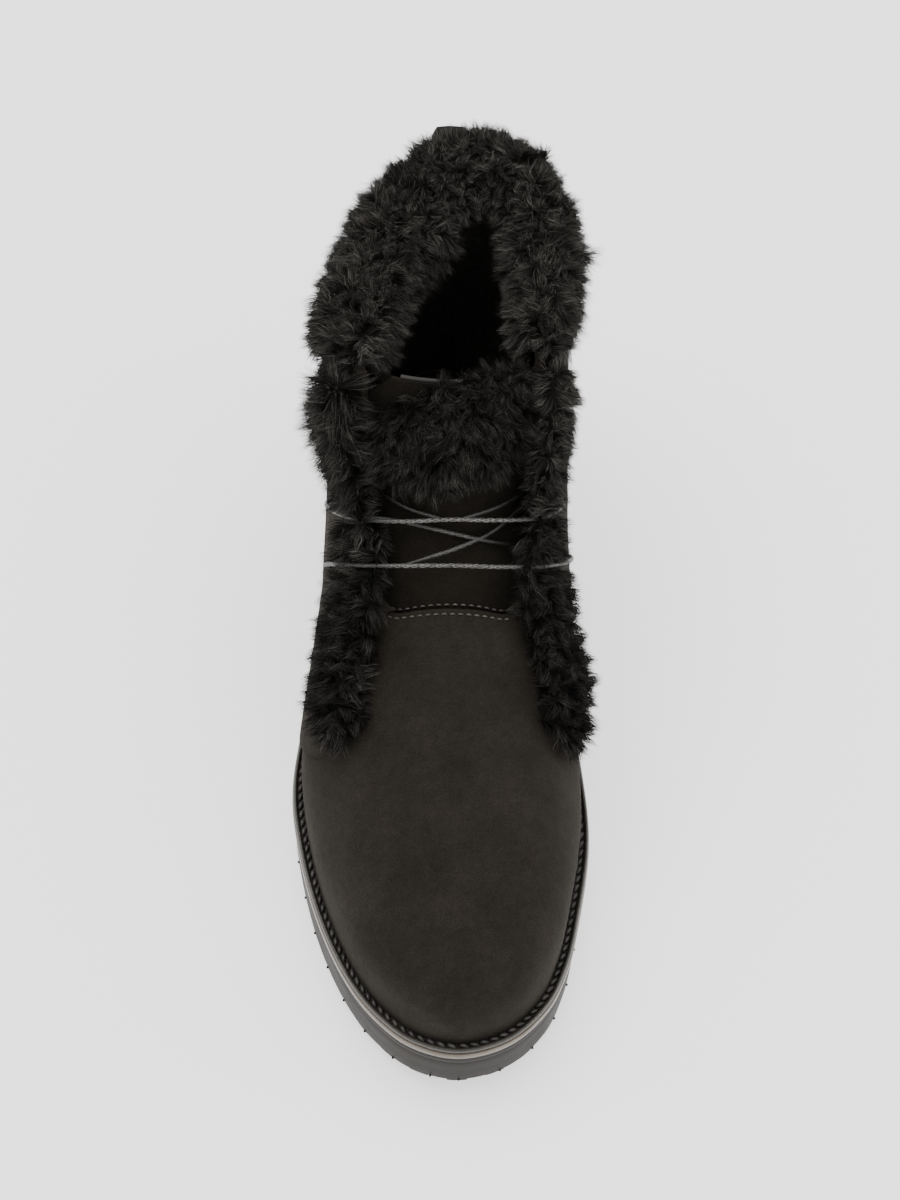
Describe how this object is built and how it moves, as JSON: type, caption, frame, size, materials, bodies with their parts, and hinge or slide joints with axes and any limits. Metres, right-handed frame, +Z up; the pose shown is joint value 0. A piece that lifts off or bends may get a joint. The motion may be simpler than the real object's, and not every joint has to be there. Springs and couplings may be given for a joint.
{
  "type": "sheepskin ankle boot",
  "caption": "Right ankle boot in dark suede with long-pile sheepskin at collar, lacing edges and tongue, stitched welt and lugged rubber sole.",
  "frame": {"origin": "under the middle of the boot's box, on the ground that the sole stands on", "axes": "+Z up, -Y the way the toe points, +X towards the inner (medial) side of the right foot"},
  "size_m": [0.097, 0.2808, 0.1632],
  "materials": {
    "rubber": "satin",
    "midsole_rubber": "satin",
    "welt_leather": "satin",
    "suede": "matte",
    "sheepskin": "matte",
    "lining": "matte",
    "waxed_cord": "satin"
  },
  "bodies": {
    "root": {"outsole": "rubber", "midsole": "midsole_rubber", "welt": "welt_leather", "insole": "lining", "upper": "suede", "tongue": "suede", "heel_tab": "suede", "collar_fur": "sheepskin", "lateral_facing_fur": "sheepskin", "medial_facing_fur": "sheepskin", "tongue_fur": "sheepskin", "lace": "waxed_cord"}
  },
  "joints": []
}
